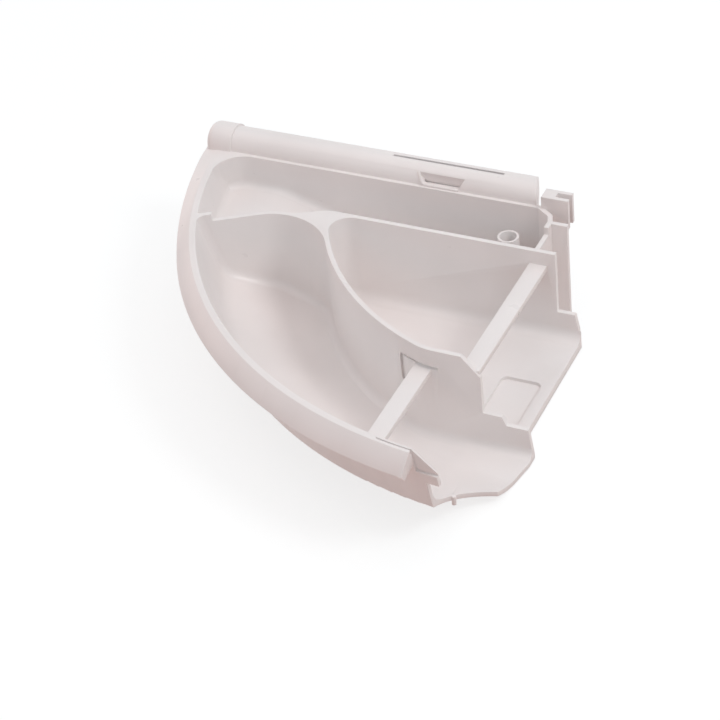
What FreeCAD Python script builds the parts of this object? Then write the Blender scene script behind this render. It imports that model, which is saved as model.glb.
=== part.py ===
import FreeCAD, Part
import math
import os

# Swing-out detergent dispenser drawer, moulded in one piece.
# It is drawn about the axis that the drawer swings on: X runs along the front grip, Y points out of
# the machine and Z = 0 is the top of the rim. It is then stood on Z = 0, centred on its own plan.

V = FreeCAD.Vector

# Walls and levels
wall = 2.2                    # general wall of the moulding
floor_wall = 2.4              # thickness of the bottom
depth = 50.2                  # rim to the floor of the main wash chamber
divider_drop = 3.8            # inner walls stop this far below the rim

# Outer wall, rim and skirt
rim_radius = 200.0            # outside of the rim, about the swing axis
wall_lean = 8.3               # the outer wall leans in by this much on its way down
knee_depth = 34.2             # inside, the wall ends here and the cone of the bottom begins
flat_inset = 46.3             # the bottom is flat from this far inside the rim
knee_fillet = 12.0            # inside, between the outer wall and the cone
cone_fillet = 30.0            # between the cone and the flat bottom
heel_fillet = 2.0             # outside, round the foot of the outer wall
rim_land = 0.8                # flat top of the rim outside its radius
skirt_flare = 7.5             # the skirt stands out from the rim
skirt_drop = 8.0
skirt_wall = 2.0
skirt_start_y = -9.0          # the skirt starts in the end of the front grip
rim_end_x = -21.6             # the rim and skirt stop here at the outlet
gusset = 2.2                  # end web of the skirt
gusset_reach = 3.0            # it hangs below the skirt

# Front wall with its cranked end
front_y = -22.4               # outside face of the front wall
front_end_x = -34.0           # the straight run ends here
crank_length = 7.7            # first run of the crank, along the front
crank_fall = 5.5              # and across it
heel_length = 1.7             # second run, along the front
heel_fall = 4.6
cheek_end_x = -17.0
corner_web = 13.5             # rounding of the softener chamber at the left

# Softener chamber and its siphon riser
softener_y = -49.5            # softener face of the straight divider
softener_shallow = 17.0       # floor below the rim at the shallow end
softener_rise = 2.7           # at the riser its floor is this far above the main floor
ramp_gap = 13.6               # the ramp starts this far outside the divider's bend
ramp_end_x = -62.0
softener_fillet = 4.0
riser_x = -44.6               # the riser stands midway between the walls
riser_outside = 9.8
riser_bore = 7.8
riser_top = 9.3               # below the rim
cross_wall_x = -26.6          # softener face of the wall that closes the chamber

# Left divider and the junction of the three chambers
divider_offset = 7.3          # its middle run lies this far behind the straight divider
divider_bend_gap = 13.9       # it bends this far outside the middle wall
divider_slope = 31.3          # degrees, its outer run
divider_bend_radius = 25.0
divider_stub = 6.5            # full-height stub beside the rim
swell_gap = 4.5               # the web starts to swell this far outside the middle wall
swell_length = 15.0           # and has reached the straight divider after this
swell_radius = 15.0

# Prewash and main wash chambers
main_width = 61.5             # from the rim to the middle of the curved wall
middle_flat = 7.5             # its straight run cuts this much off the arc
middle_bend = 25.0
prewash_rise = 1.6            # its floor above the main floor
prewash_corner = 9.0
main_corner = 30.0
floor_fillet = 6.0            # round the prewash floor
main_fillet = 4.5             # round the inner walls of the main wash chamber
pocket_drop = 1.6             # shallow sump in the prewash floor
pocket_left_x = -29.4
pocket_right_x = -10.6
pocket_margin = 3.6           # between the sump and the middle wall
pocket_length = 40.0
pocket_corner = 3.0

# Outlet ends of floors and walls
prewash_lip_x = -5.2
straight_end_x = -16.4        # straight divider, upper part
straight_step_depth = 35.1
straight_foot_x = -8.0
straight_toe_x = -6.4
straight_toe_depth = 43.5
middle_chamfer_x = -28.1      # middle wall, start of the chamfer
middle_end_x = -19.6
middle_chamfer_depth = 13.2
middle_step_depth = 32.1
middle_step_x = -10.9
middle_foot_depth = 36.4
middle_foot_start_x = -9.0
middle_foot_x = 0.8
middle_toe_x = 2.5
main_corner_x = -1.6          # corner of the main wash lip
main_corner_in = 27.7         # inside the foot of the outer wall
main_side_gap = 4.3           # the lip starts this far from the middle wall
main_curve_x = -10.8
main_curve_in = 19.0
main_tip_x = -17.5            # lip and outer wall, lower part
outer_end_x = -11.9           # outer wall, upper part
outer_chamfer_depth = 11.6    # it is chamfered from the end of the rim down to here
outer_step_depth = 19.0
ledge_depth = 13.0            # beside the chamfer its outside is cut back down to here
ledge_width = 1.3
slit_left_x = -38.0           # a slit in the rim carries the cut-back face on from the ledge
slit_width = 0.7
slit_depth = 2.5
pip_x = -14.4
pip_in = 12.2                 # inside the foot of the outer wall
pip_radius = 1.0
pip_length = 2.0

# Tie bars over the chambers
bar_width = 8.2
bar_thickness = 2.6
prewash_bar_x = -24.5
prewash_bar_top = 10.6
main_bar_x = -46.2
main_bar_top = 14.0
window_left_x = -59.0         # window in the middle wall beside that bar's end
window_right_x = -39.0
window_top = 12.4
window_foot = 28.0
window_corner = 2.0
window_gap = 0.8              # between the bar and the leg of the window

# Front grip: a hooked roll along the front wall
roll_y = -14.6
roll_z = 0.0
roll_radius = 8.2
roll_wall = 2.0
roll_overhang = 6.5           # its left end stands out past the rim
roll_right_x = -36.0
roll_end_wall = 2.0
roll_end_round = 4.0
roll_skew = 5.0               # its right end is cut off askew, shorter at the front by this much
cap_length = 14.0             # thicker left end, with a square neck down to the skirt
cap_rise = 0.8
neck_inset = 1.5
roll_mouth_z = -3.0           # the roll is open below this level
roll_mouth = 5.3              # width of its mouth
slot_left_x = -110.0
slot_right_x = -54.5
slot_width = 1.3
latch_left_x = -94.4
latch_right_x = -71.6
latch_taper = 3.0
latch_top_z = 5.6
latch_foot_z = 0.8
latch_depth = 2.4             # at its foot; the roll curves back to meet the latch face at the top
latch_wall = 1.6              # behind that face

# Fork lug beside the roll
lug_left_x = -33.1
lug_right_x = -20.2
lug_top_z = 6.1
lug_foot_z = -9.0
lug_wall = 2.0
lug_gap = 3.4
lug_bridge_x = -26.9          # the slot is closed up to here

above = 20.0                  # cutting shapes reach this far past the part
overcut = 0.1                 # cuts through one wall run past its faces by this much
near = 1e-3                   # positions closer than this are the same

# Levels derived from the sizes above
floor_z = -depth
base_z = floor_z - floor_wall
prewash_z = floor_z + prewash_rise
softener_z = floor_z + softener_rise
divider_z = -divider_drop
foot_radius = rim_radius - wall - wall_lean
flat_radius = rim_radius - flat_inset
lean = wall_lean / knee_depth
cone_slope = (depth - knee_depth) / (foot_radius - flat_radius)
roll_left_x = -rim_radius - roll_overhang
front_inner_y = front_y - wall
crank_x = front_end_x + crank_length
crank_y = front_y - crank_fall
heel_x = crank_x + heel_length
cheek_y = crank_y - heel_fall
front_line = [(-rim_radius, front_y), (front_end_x, front_y), (crank_x, crank_y), (heel_x, cheek_y),
              (cheek_end_x, cheek_y)]
riser_y = (front_inner_y + softener_y) / 2
divider_y = softener_y - divider_offset
straight_far_y = softener_y - wall
divider_far_y = divider_y - wall
middle_radius = rim_radius - main_width
divider_bend_x = -middle_radius - divider_bend_gap
ramp_start_x = divider_bend_x - ramp_gap
swell_start_x = -middle_radius - swell_gap
swell_end_x = swell_start_x + swell_length
middle_y = middle_flat - middle_radius
middle_inner = middle_radius - wall / 2
middle_outer = middle_radius + wall / 2
middle_near_y = middle_y + wall / 2
middle_far_y = middle_y - wall / 2
pocket_top_y = middle_near_y + pocket_margin + pocket_length
main_side_y = middle_far_y - main_side_gap
main_tip_y = -foot_radius
main_curve_y = main_tip_y + main_curve_in
rim_end = math.degrees(math.acos(-rim_end_x / rim_radius))
main_corner_y = main_tip_y + main_corner_in
pip_y = main_tip_y + pip_in


def face_from(points, lift):
    """Flat face through points; lift turns each pair into a vector."""
    corners = [lift(*point) for point in points]
    return Part.Face(Part.makePolygon(corners + corners[:1]))


def prism(points, bottom, top):
    """Upright prism over a plan outline."""
    return face_from(points, lambda x, y: V(x, y, bottom)).extrude(V(0, 0, top - bottom))


def side_prism(points, start_y, end_y):
    """Prism along Y over an outline in X and Z."""
    return face_from(points, lambda x, z: V(x, start_y, z)).extrude(V(0, end_y - start_y, 0))


def box(x0, x1, y0, y1, z0, z1):
    return Part.makeBox(x1 - x0, y1 - y0, z1 - z0, V(x0, y0, z0))


def disc(x, y, radius, bottom, top):
    return Part.makeCylinder(radius, top - bottom, V(x, y, bottom))


def is_upright(edge):
    ends = [vertex.Point for vertex in edge.Vertexes]
    if len(ends) < 2:
        return False
    return math.hypot(ends[0].x - ends[1].x, ends[0].y - ends[1].y) < near


def round_upright(solid, x, y, radius):
    """Round the upright edge nearest to a plan point."""
    uprights = [edge for edge in solid.Edges if is_upright(edge)]
    nearest = min(uprights, key=lambda edge: math.hypot(edge.CenterOfMass.x - x, edge.CenterOfMass.y - y))
    return solid.makeFillet(radius, [nearest])


def floor_edges(solid, level, keep):
    """Edges of a flat floor at one level that a test keeps."""
    edges = []
    for edge in solid.Edges:
        limits = edge.BoundBox
        flat = abs(limits.ZMin - level) < near and abs(limits.ZMax - level) < near
        if flat and keep(edge.CenterOfMass):
            edges.append(edge)
    return edges


def turned(section, start, end):
    """Section in radius and height, turned about the swing axis between two angles."""
    face = face_from(section, lambda radius, z: V(-radius, 0, z))
    solid = face.revolve(V(0, 0, 0), V(0, 0, 1), end - start)
    solid.rotate(V(0, 0, 0), V(0, 0, 1), start)
    return solid


def arc_at(before, corner, after, radius):
    """Arc that rounds the corner between two straight runs."""
    first = (before - corner).normalize()
    second = (after - corner).normalize()
    half = first.getAngle(second) / 2
    reach = radius / math.tan(half)
    middle = corner + (first + second).normalize() * (radius / math.sin(half) - radius)
    return Part.Arc(corner + first * reach, middle, corner + second * reach)


def bowl(inset, drop, fillet):
    """Space inside the outer wall: leaning in from the rim, then a cone down to the flat bottom."""
    top = rim_radius - inset
    bottom = floor_z - drop
    knee_z = (bottom + cone_slope * (top - flat_radius)) / (1 - cone_slope * lean)
    centre = V(0, 0, bottom)
    flat_end = V(-flat_radius, 0, bottom)
    knee = V(-top - lean * knee_z, 0, knee_z)
    rim = V(-top, 0, 0)
    low_arc = arc_at(centre, flat_end, knee, cone_fillet)
    knee_arc = arc_at(flat_end, knee, rim, fillet)
    edges = [Part.makeLine(centre, low_arc.StartPoint), low_arc.toShape(),
             Part.makeLine(low_arc.EndPoint, knee_arc.StartPoint), knee_arc.toShape(),
             Part.makeLine(knee_arc.EndPoint, rim), Part.makeLine(rim, V(0, 0, 0)),
             Part.makeLine(V(0, 0, 0), centre)]
    return Part.Face(Part.Wire(edges)).revolve(V(0, 0, 0), V(0, 0, 1), 360)


def divider_line(face_y, bend_x):
    """Plan points of the left divider's outer run, from its bend to past the rim."""
    run = rim_radius
    slope = math.tan(math.radians(divider_slope))
    return [(bend_x, face_y), (bend_x - run, face_y - run * slope)]


def lines(points):
    """Straight edges from each plan point to the next."""
    return [Part.makeLine(V(*start, 0), V(*end, 0)) for start, end in zip(points, points[1:])]


def rightward(start, end):
    """Unit direction square to a plan run, to its right."""
    return V(end[1] - start[1], start[0] - end[0], 0).normalize()


def inner_corners(points, distance):
    """Inner corners of a plan line, moved to its right by a distance from the runs on both sides."""
    corners = []
    for before, point, after in zip(points, points[1:], points[2:]):
        first = rightward(before, point)
        second = rightward(point, after)
        corner = V(*point, 0) + (first + second) * (distance / (1 + first.dot(second)))
        corners.append((corner.x, corner.y))
    return corners


def outlet_plan():
    """Plan of the moulding without the skirt, from the front wall round the outlet."""
    far = rim_radius + above
    points = front_line[1:] + [(cheek_end_x, softener_y), (straight_toe_x, softener_y),
                               (straight_toe_x, straight_far_y), (prewash_lip_x, straight_far_y),
                               (prewash_lip_x, middle_near_y), (middle_toe_x, middle_near_y),
                               (middle_toe_x, main_side_y), (main_corner_x, main_corner_y)]
    lip = Part.Arc(V(main_corner_x, main_corner_y, 0), V(main_curve_x, main_curve_y, 0),
                   V(main_tip_x, main_tip_y, 0))
    back = [(main_tip_x, main_tip_y), (outer_end_x, main_tip_y), (outer_end_x, -far),
            (-far, -far), (-far, front_y), (front_end_x, front_y)]
    edges = lines(points) + [lip.toShape()] + lines(back)
    face = Part.Face(Part.Wire(edges))
    face.translate(V(0, 0, base_z - above))
    return face.extrude(V(0, 0, -base_z + above))


def softener_floor(drop):
    """Everything above the sloping softener floor, lowered by drop."""
    far = rim_radius + above
    level = -softener_shallow - drop
    deep = softener_z - drop
    outline = [(-far, level), (ramp_start_x, level), (ramp_end_x, deep), (above, deep),
               (above, above), (-far, above)]
    return side_prism(outline, -far, above)


def softener_plan(front):
    """Plan outline of the softener chamber, up to a front face."""
    bend = divider_line(divider_y, divider_bend_x)
    return [(cross_wall_x, front), (-rim_radius - above, front), bend[1], bend[0],
            (swell_start_x, divider_y), (swell_end_x, softener_y), (cross_wall_x, softener_y)]


def softener_chamber():
    corner_radius = rim_radius - wall
    space = prism(softener_plan(front_inner_y), base_z, above)
    space = space.common(disc(0, 0, corner_radius, base_z, above))
    corner_x = -math.sqrt(corner_radius ** 2 - front_inner_y ** 2)
    space = round_upright(space, corner_x, front_inner_y, corner_web)
    space = round_upright(space, divider_bend_x, divider_y, divider_bend_radius)
    space = round_upright(space, swell_start_x, divider_y, swell_radius)
    space = round_upright(space, swell_end_x, softener_y, swell_radius)
    crank = inner_corners(front_line, wall)
    ahead = [(crank[-1][0] + above, crank[-1][1]), (crank[-1][0] + above, above), (crank[0][0], above)]
    space = space.cut(prism(crank + ahead, base_z, above))
    space = space.common(softener_floor(0))
    foot = [edge for edge in space.Edges if on_softener_floor(edge)]
    return space.makeFillet(softener_fillet, foot).common(shallow_end())


def shallow_end():
    """Inside of the outer wall over the shallow floor, with a fillet at its foot; open from the ramp on."""
    far = rim_radius + above
    space = tall_bowl().common(box(-far, far, -far, far, -softener_shallow, above))
    space = space.makeFillet(softener_fillet, floor_edges(space, -softener_shallow, lambda point: True))
    return space.fuse(box(ramp_start_x, above, -far, above, base_z, above))


def softener_level(x):
    """Height of the softener floor at one place along the chamber."""
    share = min(max((x - ramp_start_x) / (ramp_end_x - ramp_start_x), 0), 1)
    return -softener_shallow + share * (softener_z + softener_shallow)


def on_softener_floor(edge):
    """True for the edges round the softener floor, but not for the creases of its ramp."""
    ends = [edge.valueAt(edge.FirstParameter), edge.valueAt(edge.LastParameter)]
    level = all(abs(end.z - softener_level(end.x)) < near for end in ends)
    crease = any(all(abs(end.x - x) < near for end in ends) for x in (ramp_start_x, ramp_end_x))
    return level and not crease


def tall_bowl():
    """Inside of the outer wall, carried up past the rim."""
    inside = bowl(wall, 0, knee_fillet)
    return inside.fuse(disc(0, 0, rim_radius - wall, 0, above))


def under_softener():
    """Open space below the softener floor, which is as thin as the bottom."""
    space = prism(softener_plan(above), base_z - above, above)
    return space.cut(softener_floor(floor_wall))


def cheek_channel():
    """Open channel between the cheek and the straight divider."""
    return box(cross_wall_x + wall, above, softener_y, cheek_y - wall, softener_z, above)


def prewash_chamber():
    space = box(-rim_radius, above, middle_near_y, straight_far_y, prewash_z, above)
    space = space.common(disc(0, 0, middle_inner, prewash_z, above))
    corner_x = -math.sqrt(middle_inner ** 2 - straight_far_y ** 2)
    bend_x = -math.sqrt(middle_inner ** 2 - middle_near_y ** 2)
    space = round_upright(space, corner_x, straight_far_y, prewash_corner)
    space = round_upright(space, bend_x, middle_near_y, middle_bend)
    edges = floor_edges(space, prewash_z, lambda point: point.x < prewash_lip_x)
    return space.makeFillet(floor_fillet, edges)


def prewash_pocket():
    sump = box(pocket_left_x, pocket_right_x, pocket_top_y - pocket_length, pocket_top_y,
               prewash_z - pocket_drop, prewash_z + floor_fillet)
    for x in (pocket_left_x, pocket_right_x):
        for y in (pocket_top_y - pocket_length, pocket_top_y):
            sump = round_upright(sump, x, y, pocket_corner)
    return sump


def slant(face):
    """Upward part of a face's direction at its middle: 0 for an upright face, 1 for a level one."""
    u0, u1, v0, v1 = face.ParameterRange
    return abs(face.normalAt((u0 + u1) / 2, (v0 + v1) / 2).z)


def foot_edges(space):
    """Edges below the rim where an upright wall of a chamber meets a slanting or level face."""
    edges = []
    for edge in space.Edges:
        slants = [slant(face) for face in space.ancestorsOfType(edge, Part.Face)]
        middle = edge.CenterOfMass
        if min(slants) < near < max(slants) and middle.z < -near and middle.x < above - near:
            edges.append(edge)
    return edges


def main_chamber():
    far = rim_radius + above
    bend_x = divider_bend_x + wall * math.tan(math.radians(divider_slope / 2))
    bend = divider_line(divider_far_y, bend_x)
    outline = [(above, divider_far_y), bend[0], bend[1], (-far, -far), (above, -far)]
    space = prism(outline, floor_z, 0)
    island = disc(0, 0, middle_outer, floor_z, above)
    island = island.common(box(-far, far, middle_far_y, far, floor_z, above))
    space = space.cut(island)
    junction_x = -math.sqrt(middle_outer ** 2 - divider_far_y ** 2)
    straight_x = -math.sqrt(middle_outer ** 2 - middle_far_y ** 2)
    space = max(space.Solids, key=lambda solid: solid.Volume)
    space = round_upright(space, junction_x, divider_far_y, main_corner)
    space = round_upright(space, bend_x, divider_far_y, divider_bend_radius)
    space = round_upright(space, straight_x, middle_far_y, middle_bend)
    space = space.common(bowl(wall, 0, knee_fillet))
    return space.makeFillet(main_fillet, foot_edges(space))


def lowered_dividers():
    """Space over the inner walls, which stop short of the rim."""
    inner = rim_radius - wall - divider_stub
    space = disc(0, 0, inner, divider_z, above)
    return space.common(box(-inner, above, -rim_radius, front_inner_y - corner_web, divider_z, above))


def straight_divider_end():
    """Stepped end of the straight divider."""
    outline = [(straight_end_x, above), (straight_end_x, -straight_step_depth),
               (straight_foot_x, -straight_step_depth), (straight_toe_x, -straight_toe_depth),
               (above, -straight_toe_depth), (above, above)]
    return side_prism(outline, straight_far_y - overcut, softener_y + overcut)


def middle_wall_end():
    """Chamfered and stepped end of the middle wall."""
    outline = [(middle_chamfer_x, divider_z), (middle_end_x, -middle_chamfer_depth),
               (middle_end_x, -middle_step_depth), (middle_step_x, -middle_step_depth),
               (middle_foot_start_x, -middle_foot_depth), (middle_foot_x, -middle_foot_depth),
               (middle_toe_x, floor_z), (above, floor_z), (above, above), (middle_chamfer_x, above)]
    return side_prism(outline, middle_far_y - overcut, middle_near_y + overcut)


def outer_wall_end():
    """Chamfered and stepped end of the outer wall."""
    low = base_z - above
    outline = [(rim_end_x, above), (rim_end_x, 0), (outer_end_x, -outer_chamfer_depth),
               (outer_end_x, -outer_step_depth), (main_tip_x, -outer_step_depth), (main_tip_x, low),
               (above, low), (above, above)]
    return side_prism(outline, -rim_radius - above, main_tip_y)


def ledge():
    """Space outside the thinned top of the outer wall, from the end of the rim on."""
    face = rim_radius - ledge_width
    far = rim_radius + above
    section = [(face, 0), (far, 0), (far, -ledge_depth), (face - lean * ledge_depth, -ledge_depth)]
    return turned(section, rim_end, rim_end + math.degrees(above / rim_radius))


def rim_slit():
    """Narrow slit between the thin top of the outer wall and the skirt."""
    face = rim_radius - ledge_width
    far_face = face + slit_width
    section = [(face, -slit_depth), (far_face, -slit_depth), (far_face, above), (face, above)]
    return turned(section, math.degrees(math.acos(-slit_left_x / rim_radius)), rim_end)


def tray():
    body = bowl(0, floor_wall, heel_fillet).common(outlet_plan())
    body = body.cut(under_softener())
    for space in (softener_chamber(), prewash_chamber(), prewash_pocket(), main_chamber(), cheek_channel(),
                  lowered_dividers(), straight_divider_end(), middle_wall_end(), outer_wall_end(), ledge()):
        body = body.cut(space)
    return body


def skirt():
    """Flared skirt round the rim, with a web at its outlet end."""
    inner = rim_radius - wall
    outer = rim_radius + skirt_flare
    top = [(inner, 0), (rim_radius + rim_land, 0), (outer, -skirt_drop)]
    section = top + [(outer - skirt_wall, -skirt_drop), (inner, -skirt_wall)]
    web = top + [(outer - skirt_wall, -skirt_drop - gusset_reach), (inner, -skirt_drop)]
    start = math.degrees(math.asin(-skirt_start_y / rim_radius))
    web_start = rim_end - math.degrees(gusset / rim_radius)
    return turned(section, start, rim_end).fuse(turned(web, web_start, rim_end))


def tie_bars():
    prewash = box(prewash_bar_x - bar_width / 2, prewash_bar_x + bar_width / 2,
                  middle_y, softener_y - wall / 2, -prewash_bar_top - bar_thickness, -prewash_bar_top)
    main = box(main_bar_x - bar_width / 2, main_bar_x + bar_width / 2, -rim_radius, middle_near_y,
               -main_bar_top - bar_thickness, -main_bar_top)
    return [prewash, main.common(bowl(wall / 2, 0, knee_fillet))]


def bar_window():
    """Hooked window in the middle wall, over and beside the end of the main chamber's bar."""
    leg_x = main_bar_x - bar_width / 2 - window_gap
    sill = -main_bar_top
    outline = [(window_left_x, -window_top), (window_right_x, -window_top), (window_right_x, sill),
               (leg_x, sill), (leg_x, -window_foot), (window_left_x, -window_foot)]
    hole = side_prism(outline, middle_y - above, middle_near_y + above)
    corners = [edge for edge in hole.Edges if edge.BoundBox.YLength > above]
    convex = [edge for edge in corners if edge.CenterOfMass.x < leg_x + near
              and abs(edge.CenterOfMass.z - sill) > near]
    return hole.makeFillet(window_corner, convex)


def past_roll_end(inset):
    """Everything past the skew right end of the roll, less an inset."""
    end_x = roll_right_x - inset
    behind = roll_y - roll_radius
    ahead = roll_y + roll_radius
    outline = [(end_x, behind - overcut), (end_x - roll_skew, ahead + overcut),
               (end_x + above, ahead + overcut), (end_x + above, behind - overcut)]
    return prism(outline, roll_z - roll_radius - overcut, above)


def end_cap(radius):
    """Thicker left end of the roll, rounded off."""
    cap = Part.makeCylinder(radius, cap_length, V(roll_left_x, roll_y, roll_z), V(1, 0, 0))
    rim = [edge for edge in cap.Edges if edge.Closed and edge.CenterOfMass.x < roll_left_x + near]
    return cap.makeFillet(roll_end_round, rim)


def roll():
    """Hooked grip: a hollow roll, open below, with closed ends and its clip openings."""
    length = roll_right_x - roll_left_x
    cap_radius = roll_radius + cap_rise
    cap_end_x = roll_left_x + cap_length
    neck = box(roll_left_x + neck_inset, cap_end_x, roll_y - roll_radius, roll_y, -skirt_drop, roll_z)
    outside = Part.makeCylinder(roll_radius, length - cap_length, V(cap_end_x, roll_y, roll_z), V(1, 0, 0))
    outside = outside.cut(past_roll_end(0)).fuse(end_cap(cap_radius)).fuse(neck)
    hollow_x = roll_left_x + roll_end_wall
    hollow = Part.makeCylinder(roll_radius - roll_wall, length, V(hollow_x, roll_y, roll_z), V(1, 0, 0))
    mouth_y = roll_y - roll_radius + 2 * roll_wall
    mouth_foot = roll_z - cap_radius - overcut
    mouth = box(hollow_x, roll_right_x, mouth_y, mouth_y + roll_mouth, mouth_foot, roll_mouth_z)
    inside = hollow.fuse(mouth).cut(past_roll_end(roll_end_wall))
    slot = box(slot_left_x, slot_right_x, roll_y - slot_width / 2, roll_y + slot_width / 2, roll_z, above)
    latch = [(latch_left_x, latch_top_z), (latch_right_x, latch_top_z),
             (latch_right_x - latch_taper, latch_foot_z), (latch_left_x + latch_taper, latch_foot_z)]
    latch_y = roll_y - roll_radius + latch_depth
    recess = side_prism(latch, roll_y - roll_radius - overcut, latch_y)
    backing = box(latch_left_x - roll_wall, latch_right_x + roll_wall, latch_y, latch_y + latch_wall,
                  latch_foot_z - roll_wall, latch_top_z)
    return outside.cut(inside).cut(slot).fuse(backing).cut(recess)


def fork_lug():
    """Two cheeks with a slot between them, beside the end of the roll."""
    first = box(roll_right_x - roll_end_wall, lug_right_x, front_y - lug_wall, front_y, lug_foot_z, 0)
    raised = box(lug_left_x, lug_right_x, front_y - lug_wall, front_y, lug_foot_z, lug_top_z)
    second_y = front_y + lug_gap
    second = box(lug_left_x, lug_right_x, second_y, second_y + lug_wall, lug_foot_z, lug_top_z)
    bridge = box(lug_left_x, lug_bridge_x, front_y - lug_wall, second_y + lug_wall, lug_foot_z, lug_top_z)
    return [first, raised, second, bridge]


def riser(body):
    """Siphon riser standing in the softener chamber, bored through its floor."""
    tube = disc(riser_x, riser_y, riser_outside / 2, base_z, -riser_top)
    bore = disc(riser_x, riser_y, riser_bore / 2, base_z - above, above)
    return body.fuse(tube).cut(bore)


def drip_pip():
    """Small pip under the lip, where the last drops leave."""
    level = floor_z + cone_slope * (math.hypot(pip_x, pip_y) - flat_radius)
    return disc(pip_x, pip_y, pip_radius, level - floor_wall - pip_length, level)


def drawer():
    body = tray().cut(bar_window())
    for piece in [skirt(), roll(), drip_pip()] + tie_bars() + fork_lug():
        body = body.fuse(piece)
    return riser(body.cut(rim_slit()))


moulding = drawer()
limits = moulding.optimalBoundingBox(False)
moulding.translate(V(-limits.Center.x, -limits.Center.y, -limits.ZMin))
print("solids", len(moulding.Solids), "valid", moulding.isValid(), "volume", round(moulding.Volume))
print("box", [round(value, 2) for value in (limits.XLength, limits.YLength, limits.ZLength)])
print("moved by", [round(value, 3) for value in (-limits.Center.x, -limits.Center.y, -limits.ZMin)])

os.makedirs("parts", exist_ok=True)
moulding.exportStep("parts/drawer_moulding.step")
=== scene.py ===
# %% [markdown]
# # Detergent dispenser drawer
# The drawer swings out of a washing machine. It is one injection moulding in off-white plastic,
# with three chambers, two tie bars, a siphon riser and a rolled grip along its straight front.
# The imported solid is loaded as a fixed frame, in metres, so every piece below goes where the
# solid says.

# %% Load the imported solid
import math

import bpy
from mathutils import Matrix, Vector


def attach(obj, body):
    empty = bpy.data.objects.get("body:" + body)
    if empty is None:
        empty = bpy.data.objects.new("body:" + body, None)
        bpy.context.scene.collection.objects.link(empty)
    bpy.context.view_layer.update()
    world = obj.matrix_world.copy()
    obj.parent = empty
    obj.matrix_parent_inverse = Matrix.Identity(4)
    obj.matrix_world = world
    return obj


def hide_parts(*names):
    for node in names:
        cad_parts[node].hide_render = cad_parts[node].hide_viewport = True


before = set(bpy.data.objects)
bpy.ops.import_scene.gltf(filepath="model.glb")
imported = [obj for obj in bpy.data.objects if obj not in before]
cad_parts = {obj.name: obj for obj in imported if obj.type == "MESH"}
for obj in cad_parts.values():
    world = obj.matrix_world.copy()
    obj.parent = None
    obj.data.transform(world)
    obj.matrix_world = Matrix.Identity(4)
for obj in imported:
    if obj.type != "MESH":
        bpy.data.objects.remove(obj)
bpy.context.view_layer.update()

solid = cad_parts["drawer_moulding"]

# %% [markdown]
# ## Camera
# The drawer is seen from the outlet end, a little above it, with a long lens, so its walls stay
# nearly parallel. A camera could be aimed by eye, but the drawer's straight front, its tie bars
# and its round rim show exactly how it was turned, so the place and the three turns were worked
# out from those lines.

# %% Camera
camera_place = (0.3858, -0.6824, 0.6122)
camera_turn = [math.radians(angle) for angle in (52.19, 5.09, 24.74)]
sensor_width = 36.0
long_lens = 110.0
view_reach = 20.0
bpy.ops.object.select_all(action="DESELECT")
bpy.ops.object.camera_add(location=camera_place, rotation=camera_turn)
camera = bpy.context.object
camera.name = "photo_camera"
camera.data.sensor_width = sensor_width
camera.data.lens = long_lens
camera.data.clip_end = view_reach
bpy.context.scene.camera = camera
print("camera", [round(value, 4) for value in camera.location])

# %% [markdown]
# ## The moulding
# The walls, floors, bars and grip come out of one mould together, so they are one mesh here too.
# They could be modelled again with Blender's own tools, but the solid already has every wall where
# it belongs, so its mesh is copied instead. A mesh that comes from a solid has loose triangles
# along each face. Its corners are merged and flat neighbours are joined, and only the real edges
# are left.

# %% Name what was just made
def named(name):
    piece = bpy.context.object
    piece.name = name
    piece.data.name = name
    return piece


# %% Copy the solid's mesh and join it up
merge_distance = 0.00001
flat_angle = math.radians(0.6)
bpy.ops.object.select_all(action="DESELECT")
solid.select_set(True)
bpy.context.view_layer.objects.active = solid
bpy.ops.object.duplicate()
moulding = named("moulded_drawer")
bpy.ops.mesh.customdata_custom_splitnormals_clear()
bpy.ops.object.mode_set(mode="EDIT")
bpy.ops.mesh.select_all(action="SELECT")
bpy.ops.mesh.remove_doubles(threshold=merge_distance)
bpy.ops.mesh.dissolve_limited(angle_limit=flat_angle, delimit=set())
bpy.ops.object.mode_set(mode="OBJECT")
print("joined", len(moulding.data.vertices), "corners", len(moulding.data.polygons), "faces")

# %% [markdown]
# ## Moulded edges
# A moulding has no knife edges: the steel of the mould leaves a small radius on every wall top, bar
# and lip, and those radii catch the light as thin pale lines. The edges could be picked one by one
# and bevelled in edit mode. A Bevel modifier that goes by angle finds all of them at once, and it
# leaves the tangent roundings of the floors alone. It is applied, so the piece is plain mesh.

# %% Round the edges
edge_radius = 0.0004
sharp_angle = math.radians(32)
smooth_angle = math.radians(30)


def round_edges(piece, radius, segments):
    bevel = piece.modifiers.new("moulded_edges", "BEVEL")
    bevel.width = radius
    bevel.segments = segments
    bevel.limit_method = "ANGLE"
    bevel.angle_limit = sharp_angle
    bevel.miter_outer = "MITER_ARC"
    bpy.ops.object.modifier_apply(modifier=bevel.name)
    bpy.ops.object.shade_smooth_by_angle(angle=smooth_angle)


round_edges(moulding, edge_radius, segments=2)
print("rounded", len(moulding.data.vertices), "corners", len(moulding.data.polygons), "faces")

# %% [markdown]
# ## Window beside the bar
# Beside the end of the main chamber's tie bar the curved wall has a window, and what shows there is
# a narrow dark groove with a pale edge next to it. One plate with the groove cut into it would do,
# but two blocks give cleaner edges: a thin web closes the window at its back, and a plate in front
# of the web leaves only the groove. Rays cast at the solid above the window find the face of the
# wall and the way it runs, so the blocks lie along it.

# %% Find the wall beside the bar
def face_towards_grip(x, y, z):
    return solid.ray_cast(Vector((x, y, z)), Vector((0.0, 1.0, 0.0)))[1]


def wall_face(x):
    main_chamber, above_window = -0.060, 0.045
    return face_towards_grip(x, main_chamber, above_window)


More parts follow.
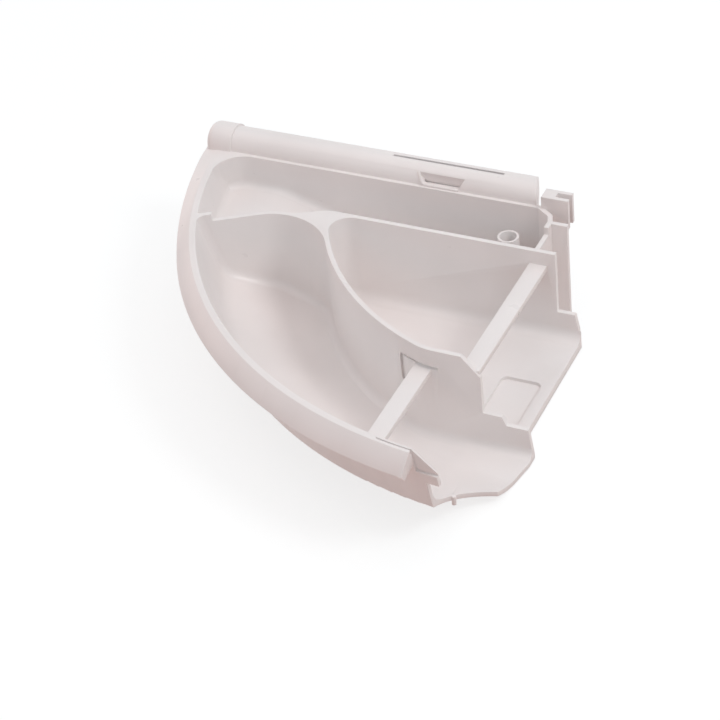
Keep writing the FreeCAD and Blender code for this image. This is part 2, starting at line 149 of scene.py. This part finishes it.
window_left = 0.0434
window_right = 0.0513
window_low = 0.0246
window_top = 0.0402
along = wall_face(window_right) - wall_face(window_left)
run = math.atan2(along.y, along.x)
into_wall = Vector((-math.sin(run), math.cos(run), 0.0))
print("wall runs at", round(math.degrees(run), 1), "degrees")

# %% [markdown]
# The web bites a little into the wall round the window, so no light leaks past it. Each block lies
# between two depths, counted from the face of the wall. Its edges are rounded as the moulding's
# are, but by less than half its thickness, so that no face shrinks to nothing.

# %% Web and plate
bite = 0.0008
groove = 0.0014
web_depths = (0.0012, 0.0020)
plate_depths = (0.0003, 0.0015)
thickness_share = 0.4


def window_block(name, left, top, depths):
    front, back = depths
    start, end = wall_face(left), wall_face(window_right + bite)
    middle = (start + end) / 2 + into_wall * (front + back) / 2
    low = window_low - bite
    bpy.ops.object.select_all(action="DESELECT")
    bpy.ops.mesh.primitive_cube_add(
        size=1.0, location=(middle.x, middle.y, (top + low) / 2), rotation=(0.0, 0.0, run),
        scale=((end - start).length, back - front, top - low))
    block = named(name)
    bpy.ops.object.transform_apply(location=True, rotation=True, scale=True)
    round_edges(block, min(edge_radius, thickness_share * (back - front)), segments=3)
    return block


web = window_block("window_web", window_left - bite, window_top + bite, web_depths)
plate = window_block("window_plate", window_left + groove, window_top - groove, plate_depths)
for block in (web, plate):
    print(block.name, [round(size * 1000, 2) for size in block.dimensions], "mm")

# %% [markdown]
# ## Wing of the rim band
# Towards the grip the outer edge of the rim band sweeps up, nearly to the level of the rim, so the
# band flattens out and runs straight into the grip's end. A wedge on the band's slope makes that
# sweep. Spinning a triangle round the swing axis would keep one section all the way, and this
# section grows from nothing. So a grid is the start: its long side is laid round the swing axis,
# and its rows become the wedge's inner edge, its raised edge, its low edge and the inner edge
# again.

# %% Lay a grid round the swing axis
swing_axis = Vector((0.1024, 0.1059))
rim_top = 0.0526
band_low = 0.0446
crease = 0.0010
rim_reach = 0.2004
band_reach = 0.2075
sweep_start, sweep_full, sweep_end = 27.5, 8.0, 5.0
sweep_steps, wedge_sides = 36, 3
bpy.ops.object.select_all(action="DESELECT")
bpy.ops.mesh.primitive_grid_add(x_subdivisions=sweep_steps, y_subdivisions=wedge_sides, size=1.0)
wing = named("band_wing")
for corner in wing.data.vertices:
    # The new grid runs from -0.5 to 0.5 both ways.
    turn = sweep_start + (sweep_end - sweep_start) * (corner.co.x + 0.5)
    row = round((corner.co.y + 0.5) * wedge_sides)
    share = min((sweep_start - turn) / (sweep_start - sweep_full), 1.0)
    inner_edge = (rim_reach, rim_top)
    raised_edge = (band_reach, band_low + (rim_top - crease - band_low) * share)
    low_edge = (band_reach, band_low)
    reach, level = (inner_edge, raised_edge, low_edge, inner_edge)[row]
    corner.co = (swing_axis.x - reach * math.cos(math.radians(turn)),
                 swing_axis.y - reach * math.sin(math.radians(turn)), level)
print("grid", len(wing.data.vertices), "corners")

# %% [markdown]
# The first and the last row now lie on each other, and merging them closes the wedge along its
# length. The end that is hidden in the grip is still open, so it is filled, and then every face is
# turned to point outwards.

# %% Close the wing
bpy.ops.object.mode_set(mode="EDIT")
bpy.ops.mesh.select_all(action="SELECT")
bpy.ops.mesh.remove_doubles(threshold=merge_distance)
bpy.ops.mesh.fill_holes(sides=wedge_sides)
bpy.ops.mesh.select_all(action="SELECT")
bpy.ops.mesh.normals_make_consistent(inside=False)
bpy.ops.object.mode_set(mode="OBJECT")
bpy.ops.object.shade_smooth_by_angle(angle=smooth_angle)
print("wing", [round(size * 1000, 1) for size in wing.dimensions], "mm")

# %% [markdown]
# ## Lip of the latch recess
# The recess in the rolled grip has a raised lip down its left side and along its foot. A chain of
# small blocks would show its joints on the round grip. A path with a round section bends with it
# instead. Its five control points are given by their place along the grip and their height, rays
# cast at the grip find them, and the path is then turned into mesh.

# %% Latch lip
lip_radius = 0.0007
softener_chamber = 0.060
lip_foot = 0.0530
lip_course = [(0.0077, 0.0582), (0.0090, 0.0552), (0.0104, lip_foot), (0.0140, lip_foot),
              (0.0282, lip_foot)]
bpy.ops.object.select_all(action="DESELECT")
bpy.ops.curve.primitive_nurbs_path_add(location=(0.0, 0.0, 0.0))
lip_path = bpy.context.object.data
for point, (x, z) in zip(lip_path.splines[0].points, lip_course):
    point.co = (*face_towards_grip(x, softener_chamber, z), 1.0)
lip_path.splines[0].order_u = 3
lip_path.bevel_depth = lip_radius
lip_path.bevel_resolution = 3
lip_path.use_fill_caps = True
bpy.ops.object.convert(target="MESH")
lip = named("latch_lip")
bpy.ops.object.shade_smooth_by_angle(angle=smooth_angle)
print("lip", [round(size * 1000, 2) for size in lip.dimensions], "mm")

# %% [markdown]
# ## Plastic
# The plastic is an off-white polypropylene with a soft sheen. Painting a picture onto it would need
# unwrapped faces. Noise on Object coordinates needs none: it fills the space the part stands in, at
# its true size, and stays on the part when it is turned. Three noises make the finish: slow clouds
# in the colour, as the melt leaves where it flowed, a fine grain as the mould's surface gives, and
# patches that are a little glossier.

# %% Start the plastic
refraction = 1.49
plastic = bpy.data.materials.new("off_white_plastic")
plastic.use_nodes = True
nodes = plastic.node_tree.nodes
links = plastic.node_tree.links
shader = nodes["Principled BSDF"]
shader.inputs["IOR"].default_value = refraction
part_space = nodes.new("ShaderNodeTexCoord")


def plastic_noise(scale, detail):
    noise = nodes.new("ShaderNodeTexNoise")
    noise.inputs["Scale"].default_value = scale
    noise.inputs["Detail"].default_value = detail
    links.new(part_space.outputs["Object"], noise.inputs["Vector"])
    return noise.outputs["Fac"]


def colour_ramp(tree, *stops):
    ramp = tree.nodes.new("ShaderNodeValToRGB")
    for element, (position, colour) in zip(ramp.color_ramp.elements, stops):
        element.position = position
        element.color = colour
    return ramp


print("plastic", plastic.name)

# %% Colour of the plastic
dull_white = (0.84, 0.79, 0.775, 1.0)
clear_white = (0.88, 0.83, 0.815, 1.0)
tint = colour_ramp(plastic.node_tree, (0.35, dull_white), (0.65, clear_white))
links.new(plastic_noise(scale=22.0, detail=3.0), tint.inputs["Fac"])
links.new(tint.outputs["Color"], shader.inputs["Base Color"])
print("colour from", dull_white[:3], "to", clear_white[:3])

# %% Grain of the mould
grain_height = 0.0001
grain_strength = 0.07
relief = nodes.new("ShaderNodeBump")
relief.inputs["Strength"].default_value = grain_strength
relief.inputs["Distance"].default_value = grain_height
links.new(plastic_noise(scale=1400.0, detail=2.0), relief.inputs["Height"])
links.new(relief.outputs["Normal"], shader.inputs["Normal"])
print("grain", grain_height * 1000, "mm at strength", grain_strength)

# %% Sheen of the plastic
glossiest, dullest = 0.24, 0.36
gloss = nodes.new("ShaderNodeMapRange")
gloss.inputs["To Min"].default_value = glossiest
gloss.inputs["To Max"].default_value = dullest
links.new(plastic_noise(scale=60.0, detail=4.0), gloss.inputs["Value"])
links.new(gloss.outputs["Result"], shader.inputs["Roughness"])
print("roughness from", glossiest, "to", dullest)

# %% [markdown]
# Every piece gets the same plastic. The pieces all belong to the one rigid body, and the dressed
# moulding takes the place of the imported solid.

# %% Put the plastic on
for piece in (moulding, web, plate, wing, lip):
    piece.data.materials.clear()
    piece.data.materials.append(plastic)
    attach(piece, "root")
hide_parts("drawer_moulding")
print("plastic nodes", len(nodes))

# %% [markdown]
# ## Floor
# The drawer lies on a plain pale floor that fades into a white background. A white floor would
# throw too much light up at the skirt, which is the darkest part of the drawer. So the floor has
# two looks. The camera, and any mirrored or see-through look, meets a nearly white floor that still
# keeps the drawer's shadow. Light that bounces meets a warmer, darker one. Light Path tells the two
# kinds of ray apart.

# %% Which rays look straight at the background
def straight_look(tree):
    path = tree.nodes.new("ShaderNodeLightPath")
    either = path.outputs["Is Camera Ray"]
    for kind in ("Is Glossy Ray", "Is Transmission Ray"):
        larger = tree.nodes.new("ShaderNodeMath")
        larger.operation = "MAXIMUM"
        tree.links.new(either, larger.inputs[0])
        tree.links.new(path.outputs[kind], larger.inputs[1])
        either = larger.outputs["Value"]
    return either


# %% Looks of the floor
bounced_colour = (0.64, 0.47, 0.43, 1.0)
seen_colour = (0.30, 0.31, 0.31, 1.0)
seen_glow = 0.75
paper = bpy.data.materials.new("pale_floor")
paper.use_nodes = True
paper_nodes = paper.node_tree.nodes
paper_links = paper.node_tree.links
paper_nodes.remove(paper_nodes["Principled BSDF"])
bounced = paper_nodes.new("ShaderNodeBsdfDiffuse")
bounced.inputs["Color"].default_value = bounced_colour
seen = paper_nodes.new("ShaderNodeBsdfDiffuse")
seen.inputs["Color"].default_value = seen_colour
glow = paper_nodes.new("ShaderNodeEmission")
glow.inputs["Strength"].default_value = seen_glow
brighter = paper_nodes.new("ShaderNodeAddShader")
floor_pick = paper_nodes.new("ShaderNodeMixShader")
paper_links.new(seen.outputs["BSDF"], brighter.inputs[0])
paper_links.new(glow.outputs["Emission"], brighter.inputs[1])
paper_links.new(straight_look(paper.node_tree), floor_pick.inputs["Fac"])
paper_links.new(bounced.outputs["BSDF"], floor_pick.inputs[1])
paper_links.new(brighter.outputs["Shader"], floor_pick.inputs[2])
paper_links.new(floor_pick.outputs["Shader"], paper_nodes["Material Output"].inputs["Surface"])
print("floor nodes", len(paper_nodes))

# %% Floor
floor_width = 8.0
floor_gap = 0.0004
bpy.ops.object.select_all(action="DESELECT")
bpy.ops.mesh.primitive_plane_add(size=floor_width, location=(0.0, 0.0, -floor_gap))
floor = named("floor")
floor.data.materials.append(paper)
print("floor", floor_width, "m wide")

# %% [markdown]
# ## World
# The shade inside the chambers is cool, and the band round the outside is warm. One even world
# can't give both. A colour ramp that goes by height can: cool light from above, which reaches into
# the chambers, and dim warm light from low down, which only the outside sees. The background itself
# is plain white.

# %% Light of the world
warm_air = (0.44, 0.32, 0.29, 1.0)
cool_air = (0.44, 0.54, 0.58, 1.0)
warm_below, cool_above = 0.10, 0.45
world = bpy.data.worlds.new("studio")
bpy.context.scene.world = world
world.use_nodes = True
sky_nodes = world.node_tree.nodes
sky_links = world.node_tree.links
sky = sky_nodes["Background"]
way = sky_nodes.new("ShaderNodeTexCoord")
split = sky_nodes.new("ShaderNodeSeparateXYZ")
rise = sky_nodes.new("ShaderNodeMapRange")
rise.inputs["From Min"].default_value = warm_below
rise.inputs["From Max"].default_value = cool_above
air = colour_ramp(world.node_tree, (0.0, warm_air), (1.0, cool_air))
sky_links.new(way.outputs["Generated"], split.inputs["Vector"])
sky_links.new(split.outputs["Z"], rise.inputs["Value"])
sky_links.new(rise.outputs["Result"], air.inputs["Fac"])
sky_links.new(air.outputs["Color"], sky.inputs["Color"])
print("air from", warm_air[:3], "to", cool_air[:3])

# %% White background
white = sky_nodes.new("ShaderNodeBackground")
white.inputs["Color"].default_value = (1.0, 1.0, 1.0, 1.0)
white.inputs["Strength"].default_value = 1.0
sky_pick = sky_nodes.new("ShaderNodeMixShader")
sky_links.new(straight_look(world.node_tree), sky_pick.inputs["Fac"])
sky_links.new(sky.outputs["Background"], sky_pick.inputs[1])
sky_links.new(white.outputs["Background"], sky_pick.inputs[2])
sky_links.new(sky_pick.outputs["Shader"], sky_nodes["World Output"].inputs["Surface"])
print("world", world.name)

# %% [markdown]
# ## Lamps
# Lamps could be moved about by eye, but the shading on the drawer tells where its light comes from.
# The curved wall throws a shadow with a clear edge on the floor of the main chamber, so the main
# lamp is small and stands at the outlet end. The left of the band and the tops of the walls are
# warm, so a wide warm lamp stands behind that end and another hangs overhead. The band is pinkest
# along its outer side, so a weak, low lamp of a deeper colour lights it from there. Each lamp is a
# disc, placed by its bearing and its height in degrees and aimed at the drawer.

# %% Lamps
lamp_distance = 1.3


def soft_lamp(name, bearing, height, size, power, colour):
    level = math.cos(math.radians(height))
    aim = Vector((level * math.cos(math.radians(bearing)),
                  level * math.sin(math.radians(bearing)), math.sin(math.radians(height))))
    bpy.ops.object.select_all(action="DESELECT")
    bpy.ops.object.light_add(type="AREA", location=aim * lamp_distance)
    lamp = named(name)
    lamp.rotation_euler = aim.to_track_quat("Z", "Y").to_euler()
    lamp.data.shape = "DISK"
    lamp.data.size = size
    lamp.data.energy = power
    lamp.data.color = colour


soft_lamp("outlet_lamp", bearing=0, height=50, size=0.45, power=4.1, colour=(1.0, 1.0, 1.0))
soft_lamp("back_lamp", bearing=165, height=20, size=1.2, power=2.6, colour=(1.0, 0.74, 0.67))
soft_lamp("band_lamp", bearing=235, height=6, size=1.0, power=1.3, colour=(1.0, 0.45, 0.36))
soft_lamp("top_lamp", bearing=0, height=88, size=1.6, power=4.7, colour=(1.0, 0.71, 0.64))

# %% [markdown]
# ## View
# Blender's usual view greys bright colours to save their highlights. The Standard view shows each
# colour about as it is written, so white stays white.

# %% View
bpy.context.scene.view_settings.view_transform = "Standard"
print("view", bpy.context.scene.view_settings.view_transform)
